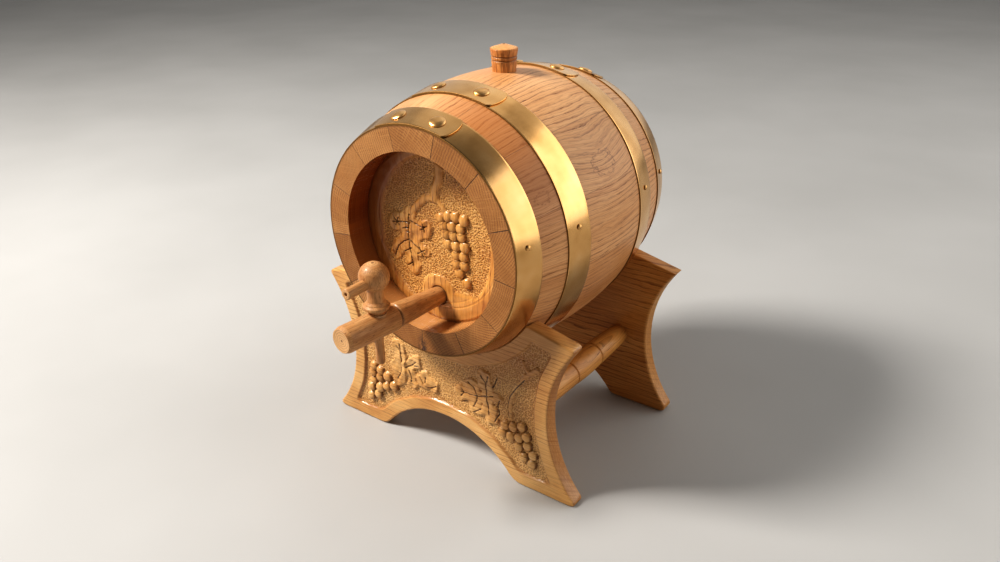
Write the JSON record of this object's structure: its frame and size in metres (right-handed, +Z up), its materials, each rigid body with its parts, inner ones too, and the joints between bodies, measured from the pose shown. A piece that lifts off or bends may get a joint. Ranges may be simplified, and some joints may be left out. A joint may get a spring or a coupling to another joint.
{
  "type": "small wine barrel on stand",
  "caption": "Small bulged oak barrel with brass hoops, bung and turned wooden tap, lying on a carved two-panel stand; holds and serves wine at a table.",
  "frame": {"origin": "on the floor, below the middle of the whole object's bounding box", "axes": "+Z up; the barrel's axis lies along Y with the tapped front head towards -Y; +X is to the right seen from the front"},
  "size_m": [0.2808, 0.3274, 0.3689],
  "materials": {
    "stave_oak": "clear satin lacquer over straight-grained oak",
    "head_oak": "warm lacquer, stippled ground",
    "stand_oak": "golden lacquer, hand carved",
    "brass": "polished sheet brass",
    "bung_wood": "turned and lacquered",
    "tap_wood": "turned beech, unvarnished",
    "cork": "natural cork sleeve"
  },
  "bodies": {
    "stand": {"stand_front_panel": "stand_oak", "stand_rear_panel": "stand_oak", "stretcher_right": "stand_oak", "stretcher_left": "stand_oak"},
    "barrel": {"stave_01": "stave_oak", "stave_02": "stave_oak", "stave_03": "stave_oak", "stave_04": "stave_oak", "stave_05": "stave_oak", "stave_06": "stave_oak", "stave_07": "stave_oak", "stave_08": "stave_oak", "stave_09": "stave_oak", "stave_10": "stave_oak", "stave_11": "stave_oak", "stave_12": "stave_oak", "stave_13": "stave_oak", "front_head": "head_oak", "rear_head": "head_oak", "hoop_front_chime": "brass", "hoop_front_bilge": "brass", "hoop_rear_bilge": "brass", "hoop_rear_chime": "brass", "rivets_front_chime": "brass", "rivets_front_bilge": "brass", "rivets_rear_bilge": "brass", "rivets_rear_chime": "brass", "nails_front_chime": "brass", "nails_front_bilge": "brass", "nails_rear_bilge": "brass", "nails_rear_chime": "brass"},
    "bung": {"bung": "bung_wood"},
    "tap": {"tap_body": "tap_wood", "tap_spout": "tap_wood", "key_cork": "cork"},
    "key": {"tap_key": "tap_wood", "key_peg": "tap_wood"}
  },
  "joints": [
    {"name": "barrel_lift", "type": "slide", "parent": "stand", "child": "barrel", "axis": [0, 0, 1], "range_m": [0, 0.13]},
    {"name": "bung_pull", "type": "slide", "parent": "barrel", "child": "bung", "axis": [0, 0, 1], "range_m": [0, 0.05]},
    {"name": "tap_pull", "type": "slide", "parent": "barrel", "child": "tap", "axis": [-0.1045, -0.9945, 0], "range_m": [0, 0.06]},
    {"name": "key_turn", "type": "hinge", "parent": "tap", "child": "key", "pos_m": [-0.0073, -0.12426, 0.168], "axis": [0, 0, 1], "continuous": true}
  ]
}
